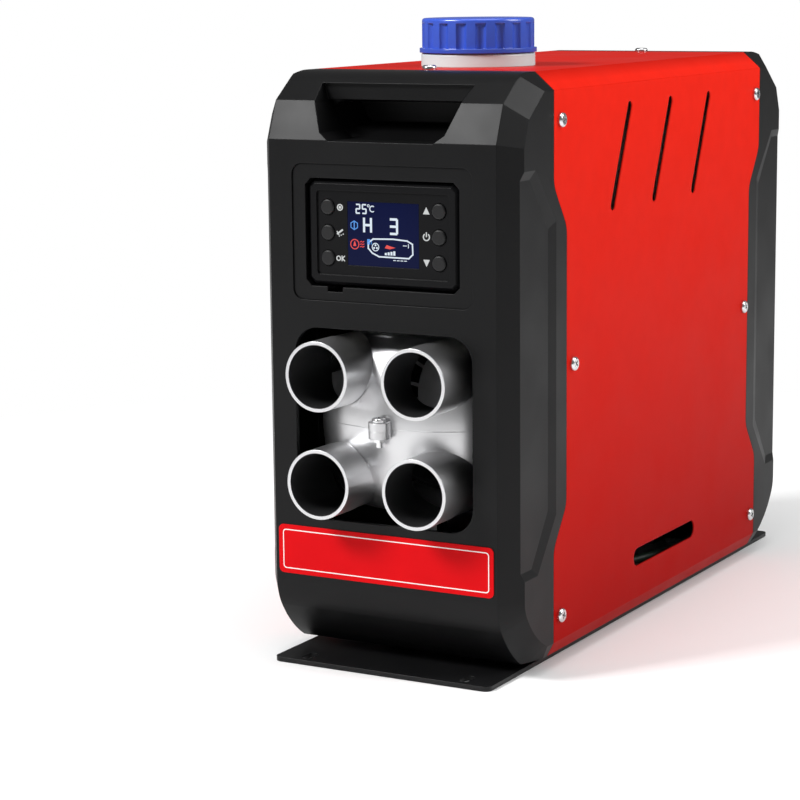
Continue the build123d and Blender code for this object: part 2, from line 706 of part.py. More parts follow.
def manifold_body(inset):
    """Outer or inner form of the manifold: a domed square that narrows to a round neck."""
    corner = TUBE_RADIUS - TUBE_SHOULDER - inset
    reach = OUTLET_PITCH / 2 + corner
    square = Pos(0, OUTLET_HEIGHT) * RectangleRounded(2 * reach, 2 * reach, corner)
    neck_radius = MANIFOLD_NECK_RADIUS - inset
    neck = Pos(0, OUTLET_HEIGHT) * RectangleRounded(2 * neck_radius, 2 * neck_radius, neck_radius - 0.1)
    body = along_y(square, -TUBE_PROUD, MANIFOLD_STRAIGHT)
    centre = DOME_SET_BACK + DOME_RADIUS
    dome = Pos(0, centre, OUTLET_HEIGHT) * Sphere(DOME_RADIUS - inset)
    body &= dome + along_y(Pos(0, OUTLET_HEIGHT) * Rectangle(WIDTH, WIDTH), centre / 2, centre)
    front = Plane.XZ.offset(-MANIFOLD_STRAIGHT) * square
    rear = Plane.XZ.offset(-MANIFOLD_TAPER_END) * neck
    body += loft([front, rear], ruled=True)
    round_neck = disc(neck_radius, 0, OUTLET_HEIGHT)
    return body + along_y(round_neck, MANIFOLD_TAPER_END, MANIFOLD_END + (1 if inset else 0))


def tube_spots():
    half = OUTLET_PITCH / 2
    return [(x, OUTLET_HEIGHT + z) for x in (-half, half) for z in (-half, half)]


def make_manifold():
    """Upper and lower shells, each with two outlet tubes and half of the screwed lug."""
    outer = manifold_body(0)
    inner = manifold_body(MANIFOLD_WALL)
    shell = outer - inner
    for x, z in tube_spots():
        tube = along_y(disc(TUBE_RADIUS, x, z), -TUBE_PROUD, TUBE_SHOULDER_BACK)
        tube += along_y(disc(TUBE_RADIUS - TUBE_SHOULDER, x, z), 0, MANIFOLD_STRAIGHT / 2)
        shell += tube - inner
    for x, z in tube_spots():
        shell -= along_y(disc(TUBE_RADIUS - TUBE_WALL, x, z), -TUBE_PROUD - 1, TUBE_BORE_BACK)
    lug = disc(LUG_RADIUS, 0, -LUG_FORWARD)
    lug_low = OUTLET_HEIGHT - LOWER_LUG
    lug_high = OUTLET_HEIGHT + UPPER_LUG
    shell += along_z(lug, lug_low, lug_high) - inner
    shell -= along_z(disc(SCREW_HOLE, 0, -LUG_FORWARD), lug_low, lug_high)
    upper_half = Pos(0, 0, OUTLET_HEIGHT) * Box(2 * WIDTH, 2 * DEPTH, WIDTH, align=BOTTOM)
    save("manifold_upper", shell & upper_half)
    save("manifold_lower", shell - upper_half)

    head = Pos(0, -LUG_FORWARD, lug_high) * pan_screw(30.0)
    shank = along_z(disc(SCREW_M4, 0, -LUG_FORWARD), lug_low - 2.5 * SCREW_M4, lug_high)
    nut = Pos(0, -LUG_FORWARD) * (RegularPolygon(1.8 * SCREW_M4, 6) - Circle(SCREW_M4))
    nut = along_z(nut, lug_low - SCREW_M4, lug_low)
    save("manifold_screw", Compound([(head + shank).solid(), nut.solid()]))

    band = ring(MANIFOLD_NECK_RADIUS + 2 * SHEET, MANIFOLD_NECK_RADIUS, 0, OUTLET_HEIGHT)
    band = along_y(band, MANIFOLD_TAPER_END + 1, MANIFOLD_END - 1)
    ear = Pos(0, OUTLET_HEIGHT - MANIFOLD_NECK_RADIUS - 5) * Rectangle(9, 10)
    band += along_y(ear, MANIFOLD_TAPER_END + 1, MANIFOLD_END - 1)
    band -= along_y(disc(MANIFOLD_NECK_RADIUS, 0, OUTLET_HEIGHT), 0, DEPTH)
    save("manifold_clamp", band)


def make_label():
    face = Pos(0, LABEL_HEIGHT) * RectangleRounded(*LABEL_SIZE, LABEL_ROUND)
    save("label_plate", along_y(face, -LABEL_THICK, 0))


def cap_outline():
    """Cap seen from above, with rounded grooves between its grip ribs."""
    face = Circle(CAP_RADIUS)
    groove = CAP_RADIUS * pi / CAP_RIBS * CAP_GROOVE_SHARE
    for index in range(CAP_RIBS):
        turn = 360.0 * index / CAP_RIBS
        face -= Rot(0, 0, turn) * Pos(CAP_RADIUS + groove - CAP_RIB_DEPTH, 0) * Circle(groove)
    return face


def make_filler():
    centre = Pos(0, CAP_CENTRE_Y, 0)
    collar = ring(COLLAR_RADIUS, NECK_RADIUS + COLLAR_GAP)
    collar = along_z(collar, BODY_TOP, BODY_TOP + COLLAR_HEIGHT)
    rim = collar.edges().filter_by(GeomType.CIRCLE).sort_by(Axis.Z)[-2:].sort_by(SortBy.RADIUS)[-1]
    save("neck_collar", centre * fillet(rim, 1.2))

    base = BODY_TOP + COLLAR_HEIGHT + CAP_STAND_OFF
    top = base + CAP_HEIGHT
    bore = NECK_RADIUS + CAP_BORE_GAP
    cap = along_z(cap_outline(), base, top - 1.5)
    crown = along_z(Circle(CAP_RADIUS), top - 2.6, top)
    crown = fillet(crown.edges().sort_by(Axis.Z)[-1], 1.5)
    cap += crown
    cap += along_z(Circle(CAP_FLANGE_RADIUS), base, base + CAP_FLANGE_HEIGHT)
    cap -= along_z(Circle(bore), base - 1, top - CAP_TOP_WALL)
    save("filler_cap", centre * cap)
    seal_top = top - CAP_TOP_WALL
    seal = along_z(ring(bore - 2 * SHEET_GAP, NECK_BORE), seal_top - SEAL_THICK, seal_top)
    save("cap_seal", centre * seal)
    return seal_top - SEAL_THICK


def make_tank(neck_top):
    """Moulded fuel tank with its neck and outlet spigot, on a pressed shelf."""
    size = (TANK_WIDTH, TANK_BACK - TANK_FRONT)
    middle = Pos(0, (TANK_FRONT + TANK_BACK) / 2)
    outer = along_z(middle * RectangleRounded(*size, TANK_ROUND), SHELF_TOP, TANK_TOP)
    outer = fillet(outer.faces().sort_by(Axis.Z)[-1].edges(), TANK_ROUND / 2)
    neck = disc(NECK_RADIUS, 0, CAP_CENTRE_Y)
    outer += along_z(neck, TANK_TOP - TANK_WALL, neck_top)
    core_size = [side - 2 * TANK_WALL for side in size]
    core = middle * RectangleRounded(*core_size, TANK_ROUND - TANK_WALL)
    spigot = along_y(disc(SPIGOT_RADIUS, SPIGOT_X, SPIGOT_HEIGHT), TANK_BACK - 1, TANK_BACK + SPIGOT_REACH)
    tank = outer + spigot
    tank -= along_z(core, SHELF_TOP + TANK_WALL, TANK_TOP - TANK_WALL)
    tank -= along_z(disc(NECK_BORE, 0, CAP_CENTRE_Y), TANK_TOP - 2 * TANK_WALL, neck_top)
    tank -= along_y(disc(HOSE_BORE, SPIGOT_X, SPIGOT_HEIGHT), TANK_BACK - 2 * TANK_WALL, DEPTH)
    save("fuel_tank", tank)

    half = WIDTH / 2 - SHEET
    plate_low = SHELF_TOP - SHELF_THICK
    section = Pos(0, SHELF_TOP - SHELF_TAB / 2) * Rectangle(2 * half, SHELF_TAB)
    section -= Pos(0, plate_low - SHELF_TAB) * Rectangle(2 * half - 2 * SHELF_THICK, 2 * SHELF_TAB)
    seat = (SEAM_MID + LIP_REACH + PAN_SIDE_GAP, DEPTH - SEAM_MID - LIP_REACH - PAN_SIDE_GAP)
    save("tank_shelf", along_y(section, *seat))


def casing_section(inset):
    side = CASING_SIZE - 2 * inset
    return Pos(0, OUTLET_HEIGHT) * RectangleRounded(side, side, CASING_ROUND - inset)


def make_casing():
    """Two-part casing round the heater core, split at the level of its axis."""
    axis = Pos(0, OUTLET_HEIGHT)
    casing = along_y(casing_section(0), CASING_FRONT, CASING_BACK)
    inner_ends = (CASING_FRONT + CASING_END_WALL, CASING_BACK - CASING_END_WALL)
    casing -= along_y(casing_section(CASING_WALL), *inner_ends)
    neck_outer = MANIFOLD_NECK_RADIUS - MANIFOLD_WALL - CASING_NECK_GAP
    neck_inner = neck_outer - CASING_NECK_WALL
    casing += along_y(axis * Circle(neck_outer), CASING_NECK_FRONT, CASING_FRONT + CASING_END_WALL)
    casing -= along_y(axis * Circle(neck_inner), 0, inner_ends[0])
    shroud = along_y(ring(INLET_RADIUS + SHELF_THICK, INLET_RADIUS, 0, OUTLET_HEIGHT),
                     CASING_BACK - SHROUD_DEPTH, CASING_BACK)
    casing = casing - along_y(axis * Circle(INLET_RADIUS), inner_ends[1], DEPTH) + shroud
    floor = OUTLET_HEIGHT - CASING_SIZE / 2
    for y, radius in stub_list():
        casing -= along_z(disc(radius + PORT_HOLE_GAP, 0, y), 0, floor + 2 * CASING_WALL)
    nipple = fuel_nipple_spot()
    casing -= along_z(disc(HOSE_RADIUS + PORT_HOLE_GAP, *nipple), 0, floor + 2 * CASING_WALL)
    ceiling = OUTLET_HEIGHT + CASING_SIZE / 2 - CASING_WALL
    for x in (-ECU_SIZE[0] / 2 + 5, ECU_SIZE[0] / 2 - 5):
        for y in (ECU_Y - ECU_SIZE[1] / 2 + 5, ECU_Y + ECU_SIZE[1] / 2 - 5):
            casing += along_z(disc(POST_RADIUS, x, y), ECU_HEIGHT + BOARD_THICK, ceiling + 1)
    for x in (-LEAD_X, LEAD_X):
        casing -= along_z(disc(LEAD_RADIUS + PORT_HOLE_GAP, x, ECU_Y), ceiling - 1, 2 * ceiling)
    upper_half = Pos(0, 0, OUTLET_HEIGHT) * Box(2 * WIDTH, 4 * DEPTH, WIDTH, align=BOTTOM)
    save("casing_upper", casing & upper_half)
    save("casing_lower", casing - upper_half)

    legs = []
    pan_top = BODY_BOTTOM + SHEET + PAN_THICK
    for y in CORE_LEG_Y:
        leg = Pos(0, (pan_top + floor) / 2) * Rectangle(CORE_LEG_WIDTH, floor - pan_top)
        leg -= Pos(0, (pan_top + floor) / 2) * Rectangle(CORE_LEG_WIDTH - 8, floor - pan_top - 2 * SHELF_THICK)
        legs.append(along_y(leg, y, y + CORE_LEG_DEPTH))
    save("core_legs", Compound([piece.solid() for piece in legs]))


def cross_arms(middle, start, thick, upper=True):
    """Arms that reach out to the casing and centre a round piece in it."""
    reach = CASING_SIZE / 2 - CASING_WALL - CASING_GAP
    face = Rectangle(2 * reach, ARM_WIDTH) + Pos(0, -reach / 2) * Rectangle(ARM_WIDTH, reach)
    if upper:
        face += Pos(0, reach / 2) * Rectangle(ARM_WIDTH, reach)
    face -= Circle(middle)
    return along_y(Pos(0, OUTLET_HEIGHT) * face, start, start + thick)


def fuel_nipple_spot():
    return (EXCHANGER_RADIUS / 2, EXCHANGER_BACK - 12)


def make_exchanger():
    axis = Pos(0, OUTLET_HEIGHT)
    body = along_y(axis * Circle(EXCHANGER_RADIUS), EXCHANGER_FRONT, EXCHANGER_BACK)
    fin_back = EXCHANGER_BACK - 2 * ARM_THICK
    step = 360.0 / FIN_COUNT
    for index in range(FIN_COUNT):
        fin = Pos((FIN_RADIUS + EXCHANGER_WALL) / 2, 0) * Rectangle(FIN_RADIUS - EXCHANGER_WALL, FIN_THICK)
        fin = axis * Rot(0, 0, step * (index + 0.5)) * fin
        body += along_y(fin, EXCHANGER_FRONT, fin_back)
    body += along_y(axis * Circle(BURNER_FLANGE_RADIUS), EXCHANGER_BACK - ARM_THICK, EXCHANGER_BACK)
    body += cross_arms(EXCHANGER_RADIUS - EXCHANGER_WALL, EXCHANGER_BACK - ARM_THICK, ARM_THICK)
    port_top = OUTLET_HEIGHT - EXCHANGER_RADIUS + EXCHANGER_WALL
    port_low = port_top - EXCHANGER_WALL - PORT_DROP
    clear = along_z(disc(EXHAUST_RADIUS + 2, 0, EXHAUST_Y), 0, OUTLET_HEIGHT)
    body = body - (clear - along_y(axis * Circle(EXCHANGER_RADIUS), 0, DEPTH))
    body += along_z(disc(EXHAUST_RADIUS, 0, EXHAUST_Y), port_low, OUTLET_HEIGHT)
    body += along_z(disc(HOSE_RADIUS, *fuel_nipple_spot()), NIPPLE_END, OUTLET_HEIGHT)
    plug_top = OUTLET_HEIGHT + EXCHANGER_RADIUS + 6
    body += along_z(disc(2 * GLOW_PLUG_RADIUS, 0, GLOW_PLUG_Y), OUTLET_HEIGHT, plug_top)
    body -= along_z(disc(3 * GLOW_PLUG_RADIUS, 0, GLOW_PLUG_Y), plug_top, 2 * plug_top)
    room = along_y(axis * Circle(EXCHANGER_RADIUS - EXCHANGER_WALL),
                   EXCHANGER_FRONT + EXCHANGER_WALL, EXCHANGER_BACK + 1)
    body -= room
    body -= along_z(disc(EXHAUST_RADIUS - STUB_WALL, 0, EXHAUST_Y), port_low - 1, OUTLET_HEIGHT)
    body -= along_z(disc(HOSE_BORE, *fuel_nipple_spot()), NIPPLE_END - 1, OUTLET_HEIGHT)
    body -= along_z(disc(GLOW_PLUG_RADIUS + SHEET_GAP, 0, GLOW_PLUG_Y), OUTLET_HEIGHT, plug_top + 1)
    save("heat_exchanger", body)

    gasket_end = EXCHANGER_BACK + GASKET_THICK
    gasket = ring(BURNER_FLANGE_RADIUS, EXCHANGER_RADIUS - EXCHANGER_WALL, 0, OUTLET_HEIGHT)
    save("exchanger_gasket", along_y(gasket, EXCHANGER_BACK, gasket_end))
    flange_end = gasket_end + BURNER_FLANGE
    burner = along_y(axis * Circle(BURNER_FLANGE_RADIUS), gasket_end, flange_end)
    burner += along_y(axis * Circle(BURNER_RADIUS), BURNER_FRONT, flange_end)
    burner -= along_y(axis * Circle(BURNER_RADIUS - BURNER_WALL), 0, gasket_end)
    burner -= along_y(axis * Circle(BURNER_RADIUS / 2), 0, DEPTH)
    for index in range(8):
        hole = axis * Rot(0, 0, 45.0 * index) * Pos(BURNER_RADIUS, 0) * Circle(2)
        burner -= along_y(hole, BURNER_FRONT - 1, BURNER_FRONT + 20)
    plug_low = OUTLET_HEIGHT + BURNER_RADIUS + 0.5
    save("burner", burner)
    plug = along_z(disc(GLOW_PLUG_RADIUS, 0, GLOW_PLUG_Y), plug_low, plug_top + 4)
    plug += along_z(Pos(0, GLOW_PLUG_Y) * RegularPolygon(2 * GLOW_PLUG_RADIUS, 6), plug_top, plug_top + 4)
    save("glow_plug", plug)
    sensor_low = OUTLET_HEIGHT + EXCHANGER_RADIUS
    sensor = along_z(disc(SENSOR_RADIUS, 0, SENSOR_Y), sensor_low - 1, sensor_low + SENSOR_HEIGHT)
    save("heat_sensor", sensor - along_y(axis * Circle(EXCHANGER_RADIUS), 0, DEPTH))
    return flange_end


def make_blower(start):
    """Combustion blower, motor and circulating fan on one shaft."""
    axis = Pos(0, OUTLET_HEIGHT)
    end = start + BLOWER_DEPTH
    housing = along_y(axis * Circle(BLOWER_RADIUS), start, end)
    housing -= along_y(axis * Circle(BLOWER_RADIUS - 4 * BLOWER_WALL), start + BLOWER_WALL, end - BLOWER_WALL)
    housing -= along_y(axis * Circle(BURNER_RADIUS / 2), start - 1, start + BLOWER_WALL)
    housing -= along_y(axis * Circle(2 * SHAFT_RADIUS), start, end + 1)
    port_low = OUTLET_HEIGHT - EXCHANGER_RADIUS - PORT_DROP
    port = Pos(0, (start + end) / 2) * Rectangle(2 * INTAKE_RADIUS, BLOWER_DEPTH)
    port = along_z(port, port_low, OUTLET_HEIGHT - BLOWER_RADIUS + 4 * BLOWER_WALL)
    housing += port - along_y(axis * Circle(BLOWER_RADIUS - BLOWER_WALL), 0, DEPTH)
    bore = disc(INTAKE_PORT_BORE, 0, (start + end) / 2)
    housing -= along_z(bore, port_low - 1, OUTLET_HEIGHT - BLOWER_RADIUS / 2)
    save("blower_housing", housing)

    motor_end = end + MOTOR_LENGTH
    motor = along_y(axis * Circle(MOTOR_RADIUS), end, motor_end)
    motor += cross_arms(MOTOR_RADIUS - 1, motor_end - 2 * ARM_THICK, ARM_THICK, upper=False)
    motor -= along_y(axis * Circle(MOTOR_RADIUS - MOTOR_WALL), end + BEARING_WIDTH, motor_end - BEARING_WIDTH)
    motor -= along_y(axis * Circle(BEARING_RADIUS), end - 1, motor_end + 1)
    save("fan_motor", motor)
    bearings = []
    for y in (end, motor_end - BEARING_WIDTH):
        bearing = ring(BEARING_RADIUS, SHAFT_RADIUS + SHAFT_CLEARANCE, 0, OUTLET_HEIGHT)
        bearings.append(along_y(bearing, y, y + BEARING_WIDTH))
    save("motor_bearings", Compound([piece.solid() for piece in bearings]))

    fan_front = CASING_BACK - AIR_FAN_WIDTH - 5
    fan_back = fan_front + AIR_FAN_WIDTH
    small_front = start + BLOWER_WALL + 2
    small_back = small_front + COMBUSTION_FAN_HEIGHT
    shaft = along_y(axis * Circle(SHAFT_RADIUS), small_front, fan_back)
    rotor_front = (end + motor_end - ROTOR_LENGTH) / 2
    shaft += along_y(axis * Circle(ROTOR_RADIUS), rotor_front, rotor_front + ROTOR_LENGTH)
    save("motor_rotor", shaft)

    wheel = along_y(ring(COMBUSTION_FAN_RADIUS, SHAFT_RADIUS, 0, OUTLET_HEIGHT), small_back - 2, small_back)
    wheel += along_y(ring(2.5 * SHAFT_RADIUS, SHAFT_RADIUS, 0, OUTLET_HEIGHT), small_front, small_back)
    for index in range(COMBUSTION_VANES):
        vane = Rot(0, 0, 360.0 * index / COMBUSTION_VANES) * Pos(COMBUSTION_FAN_RADIUS * 0.65, 0)
        vane = axis * vane * Rot(0, 0, 25) * Rectangle(COMBUSTION_FAN_RADIUS * 0.5, 1.5)
        wheel += along_y(vane, small_front, small_back)
    save("combustion_fan", wheel)

    fan = along_y(ring(AIR_FAN_HUB, SHAFT_RADIUS, 0, OUTLET_HEIGHT), fan_front, fan_back)
    length = AIR_FAN_RADIUS - AIR_FAN_HUB
    room = along_y(axis * (Circle(AIR_FAN_RADIUS) - Circle(AIR_FAN_HUB - 2)), fan_front, fan_back)
    for index in range(AIR_FAN_BLADES):
        blade = Pos(AIR_FAN_HUB + length / 2 - 1, 0, 0) * (Rot(AIR_FAN_PITCH, 0, 0) * Box(length + 2, 1.8, 20))
        blade = Rot(90, 0, 0) * (Rot(0, 0, 360.0 * index / AIR_FAN_BLADES) * blade)
        blade = Pos(0, (fan_front + fan_back) / 2, OUTLET_HEIGHT) * blade
        fan += blade & room
    save("circulation_fan", fan)


def stub_list():
    return ((EXHAUST_Y, EXHAUST_RADIUS), (INTAKE_Y, INTAKE_RADIUS))


def bent_tube(points, bends, outer, inner):
    """Tube along straight runs joined by arcs."""
    path = FilletPolyline(*points, radius=bends)
    section = Plane(origin=path @ 0, z_dir=path % 0) * (Circle(outer) - Circle(inner))
    return sweep(section, path=path)


def make_stubs():
    """Exhaust and air-intake pipes that leave through the left side, with their grommets."""
    port_low = OUTLET_HEIGHT - EXCHANGER_RADIUS - PORT_DROP
    names = ("exhaust_pipe", "intake_pipe")
    grommets = []
    for name, (y, radius) in zip(names, stub_list()):
        end = -WIDTH / 2 - STUB_REACH
        points = [(0, y, port_low), (0, y, STUB_HEIGHT), (end, y, STUB_HEIGHT)]
        skin = -WIDTH / 2
        bead_back = skin - GROMMET_SIDE - STUB_BEAD_GAP
        bead = ring(radius + STUB_BEAD_HEIGHT, radius - STUB_WALL, y, STUB_HEIGHT)
        bead = along_x(bead, bead_back - STUB_BEAD_WIDTH, bead_back)
        save(name, bent_tube(points, STUB_BEND, radius, radius - STUB_WALL) + bead)
        hole = radius + GROMMET_WALL
        sleeve = ring(hole, radius + SHEET_GAP, y, STUB_HEIGHT)
        grommet = along_x(sleeve, skin - GROMMET_SIDE, skin + SHEET + GROMMET_SIDE)
        rim = ring(hole + 2, hole, y, STUB_HEIGHT)
        grommet += along_x(rim, skin - GROMMET_SIDE, skin)
        grommet += along_x(rim, skin + SHEET, skin + SHEET + GROMMET_SIDE)
        grommets.append(grommet)
    save("pipe_grommets", Compound([piece.solid() for piece in grommets]))


def make_fuel_parts():
    """Dosing pump with its sprung piston, inline filter, and the hoses between them."""
    x, y = PUMP_AT
    top = PUMP_BASE + PUMP_LENGTH
    piston_low = PUMP_BASE + 8
    spring_low = piston_low + PISTON_LENGTH
    pump = along_z(disc(PUMP_RADIUS, x, y), PUMP_BASE, top)
    pump = chamfer(pump.edges().filter_by(GeomType.CIRCLE), 2)
    inlet_end = y + PUMP_RADIUS + PUMP_INLET
    pump += along_y(disc(HOSE_RADIUS, x, HOSE_LOW), y, inlet_end)
    pump -= along_z(disc(PUMP_BORE, x, y), piston_low, spring_low + SPRING_LENGTH)
    pump -= along_z(disc(HOSE_BORE, x, y), spring_low, top + 1)
    pump -= along_y(disc(HOSE_BORE, x, HOSE_LOW), y, inlet_end + 1)
    save("dosing_pump", pump)
    piston = disc(PUMP_BORE - PISTON_CLEARANCE, x, y)
    save("pump_piston", along_z(piston, piston_low, spring_low))
    pitch = (SPRING_LENGTH - 2 * SPRING_WIRE) / SPRING_TURNS
    coil = Helix(pitch, pitch * SPRING_TURNS, PUMP_BORE - 2 * SPRING_WIRE)
    wire = Plane(origin=coil @ 0, z_dir=coil % 0) * Circle(SPRING_WIRE)
    spring = Pos(x, y, spring_low + SPRING_WIRE) * sweep(wire, path=coil, is_frenet=True)
    save("pump_spring", spring)
    pan_top = BODY_BOTTOM + SHEET + PAN_THICK
    mount_low = PUMP_BASE + 2 * PUMP_MOUNT_WALL + 5
    mount_high = mount_low + PUMP_MOUNT_HEIGHT
    collar = ring(PUMP_RADIUS + PUMP_MOUNT_WALL, PUMP_RADIUS, x, y)
    mount = along_z(collar, mount_low, mount_high)
    foot_x = x + PUMP_RADIUS + PUMP_MOUNT_WALL / 2
    foot = Pos(foot_x, y) * Rectangle(PUMP_MOUNT_WALL, 2 * PUMP_RADIUS)
    mount += along_z(foot, pan_top, mount_high) - along_z(disc(PUMP_RADIUS + 1, x, y), 0, DEPTH)
    save("pump_mount", mount)

    filter_top = FILTER_BASE + FILTER_LENGTH
    body = along_z(disc(FILTER_RADIUS, SPIGOT_X, FILTER_Y), FILTER_BASE + 6, filter_top - 6)
    body += along_z(disc(HOSE_RADIUS, SPIGOT_X, FILTER_Y), FILTER_BASE, filter_top)
    body -= along_z(disc(HOSE_BORE, SPIGOT_X, FILTER_Y), 0, DEPTH)
    body -= along_z(disc(FILTER_RADIUS - 1.5, SPIGOT_X, FILTER_Y), FILTER_BASE + 8, filter_top - 8)
    save("fuel_filter", body)

    spigot_end = TANK_BACK + SPIGOT_REACH
    feed = [(SPIGOT_X, spigot_end, SPIGOT_HEIGHT), (SPIGOT_X, FILTER_Y, SPIGOT_HEIGHT),
            (SPIGOT_X, FILTER_Y, filter_top)]
    feed_hose = bent_tube(feed, [HOSE_BEND], HOSE_RADIUS, HOSE_BORE)
    suction = [(SPIGOT_X, FILTER_Y, FILTER_BASE), (SPIGOT_X, FILTER_Y, HOSE_LOW + 30),
               (SPIGOT_X, FILTER_Y - 30, HOSE_LOW), (SPIGOT_X, FILTER_Y - 100, HOSE_LOW),
               (x, inlet_end + 50, HOSE_LOW), (x, inlet_end, HOSE_LOW)]
    suction_hose = bent_tube(suction, [3 * HOSE_BEND] * 4, HOSE_RADIUS, HOSE_BORE)
    save("feed_hoses", Compound([feed_hose.solid(), suction_hose.solid()]))
    nipple_x, nipple_y = fuel_nipple_spot()
    delivery = [(x, y, top), (x, y, NIPPLE_END), (nipple_x, nipple_y - 50, NIPPLE_END),
                (nipple_x, nipple_y - 20, NIPPLE_END - 16), (nipple_x, nipple_y, NIPPLE_END - 16),
                (nipple_x, nipple_y, NIPPLE_END)]
    bends = [9.0, 3 * HOSE_BEND, HOSE_BEND, 9.0]
    save("delivery_hose", bent_tube(delivery, bends, HOSE_RADIUS, HOSE_BORE))


def make_wiring():
    """Control board, its two leads, and the terminal block by the gland."""
    board = Pos(0, ECU_Y) * Rectangle(*ECU_SIZE)
    board = along_z(board, ECU_HEIGHT, ECU_HEIGHT + BOARD_THICK)
    for x, y, size, height in ((-8, -6, 16, 3), (10, 9, 9, 7), (-12, 12, 7, 5)):
        chip = Pos(x, ECU_Y + y) * Rectangle(size, size * 0.7)
        board += along_z(chip, ECU_HEIGHT + BOARD_THICK, ECU_HEIGHT + BOARD_THICK + height)
    save("control_board", board)
    lead_end = ECU_HEIGHT + BOARD_THICK
    back = CONTROL_SET_BACK + CONTROL_DEPTH + BACK_DEPTH
    exit_height = PANEL_HEIGHT - LEAD_DROP
    signal = [(LEAD_X, back, exit_height), (LEAD_X, back + 16, exit_height),
              (LEAD_X, back + 40, LEAD_HEIGHT), (LEAD_X, ECU_Y, LEAD_HEIGHT), (LEAD_X, ECU_Y, lead_end)]
    save("controller_lead", solid_lead(signal, [12, 16, LEAD_TURN]))
    x, z = GLAND_AT
    wide, deep, tall = TERMINAL_SIZE
    block_low = z + TERMINAL_RISE
    block_front = DEPTH - COVER_WALL - deep
    block = along_y(Pos(x, block_low + tall / 2) * Rectangle(wide, tall), block_front, block_front + deep)
    save("terminal_block", block)
    start = block_front + deep / 2
    supply = [(x, start, block_low + tall), (x, start, block_low + tall + 30),
              (x, FILTER_Y - 8, LEAD_HEIGHT - 30), (x, FILTER_Y - 20, LEAD_HEIGHT),
              (-LEAD_X, FILTER_Y - 40, LEAD_HEIGHT), (-LEAD_X, ECU_Y, LEAD_HEIGHT),
              (-LEAD_X, ECU_Y, lead_end)]
    save("supply_lead", solid_lead(supply, [20, 12, 8, 14, LEAD_TURN]))


def solid_lead(points, bends):
    path = FilletPolyline(*points, radius=bends)
    return sweep(Plane(origin=path @ 0, z_dir=path % 0) * Circle(LEAD_RADIUS), path=path)


def main():
    cover = plain_cover()
    make_front_cover(cover)
    make_rear_cover(cover)
    make_rear_guard()
    make_gland()
    make_housing_shell()
    make_panel_screws()
    make_base()
    make_controller()
    make_manifold()
    make_label()
    neck_top = make_filler()
    make_tank(neck_top)
    make_casing()
    blower_front = make_exchanger()
    make_blower(blower_front)
    make_stubs()
    make_fuel_parts()
    make_wiring()
    os.makedirs("parts", exist_ok=True)
    for name, shape in parts.items():
        export_step(shape, f"parts/{name}.step")


main()
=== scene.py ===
import bpy
import json
from math import cos, pi, radians, sin
from mathutils import Matrix, Vector


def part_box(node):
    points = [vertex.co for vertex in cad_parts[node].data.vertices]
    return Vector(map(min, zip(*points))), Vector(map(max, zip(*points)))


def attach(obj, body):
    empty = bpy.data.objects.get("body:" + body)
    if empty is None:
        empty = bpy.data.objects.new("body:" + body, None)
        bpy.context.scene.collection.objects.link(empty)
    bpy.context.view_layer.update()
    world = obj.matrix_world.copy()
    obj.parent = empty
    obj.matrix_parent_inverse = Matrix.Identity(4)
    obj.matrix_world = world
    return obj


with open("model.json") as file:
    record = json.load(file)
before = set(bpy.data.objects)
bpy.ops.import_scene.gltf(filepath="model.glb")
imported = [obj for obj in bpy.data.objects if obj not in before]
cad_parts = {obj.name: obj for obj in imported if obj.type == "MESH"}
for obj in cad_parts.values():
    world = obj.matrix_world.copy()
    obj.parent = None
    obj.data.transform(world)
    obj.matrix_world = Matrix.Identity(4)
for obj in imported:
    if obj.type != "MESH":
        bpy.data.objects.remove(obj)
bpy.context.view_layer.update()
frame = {"nodes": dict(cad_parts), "record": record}
nodes = frame["nodes"]
MM = 0.001

# Camera, as fitted to the straight edges in the photograph
CAMERA_PLACE = (0.63435, -1.30630, 0.37389)
CAMERA_YAW = radians(29.324)
CAMERA_PITCH = radians(9.954)
CAMERA_ROLL = radians(-0.590)
CAMERA_LENS = 110.215
SENSOR = 36.0

# Studio, in metres and watts
LIT_MIDDLE = (0.0, 0.0, 0.16)
LAMPS = (
    ("top_box", (0.2, -0.2, 2.2), (1.6, 1.6), 23.0),
    ("right_box", (2.1, 0.7, 1.5), (1.3, 1.3), 45.0),
    ("front_box", (-1.3, -1.7, 1.9), (0.85, 0.65), 78.0),
)
FILL_STRENGTH = 0.17
FLOOR_HALF = 6.0
FLOOR_DROP = 0.3 * MM
FLOOR_NEAR = 0.30
FLOOR_FAR = 0.75
WHITE = (1.0, 1.0, 1.0, 1.0)

# Places read from the frame
OUTLET_Z = (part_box("manifold_lower")[0][2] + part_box("manifold_upper")[1][2]) / 2
TUBE_OUTER = 18.9 * MM
TUBE_BORE = 16.9 * MM
TUBE_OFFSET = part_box("manifold_upper")[1][0] - TUBE_OUTER
SHELL_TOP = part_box("housing_shell")[1][2]
SHELL_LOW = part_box("housing_shell")[0][2]
SHELL_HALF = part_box("housing_shell")[1][0]

# How deep the sheet body's inner faces lie behind its outer ones
SHEET_SKIN = 0.6 * MM
ROOF_BEND = 10.4 * MM
FLOOR_BEND = 8.4 * MM
ROOF_DEPTH = 4.0 * MM
ROOF_INSET = 17.0 * MM
ROOF_BLEND = 6.0 * MM

# Signs: how far they stand out, and where they sit in millimetres
KEY_PROUD = 1.1 * MM
SIGN_PROUD = 0.2 * MM
LIT_PROUD = 0.06 * MM
BORDER_PROUD = 0.04 * MM
KEY_PITCH = 13.55
SIGN_COLUMN = 26.0
BORDER_INSET = 2.6
BORDER_WIDTH = 0.55

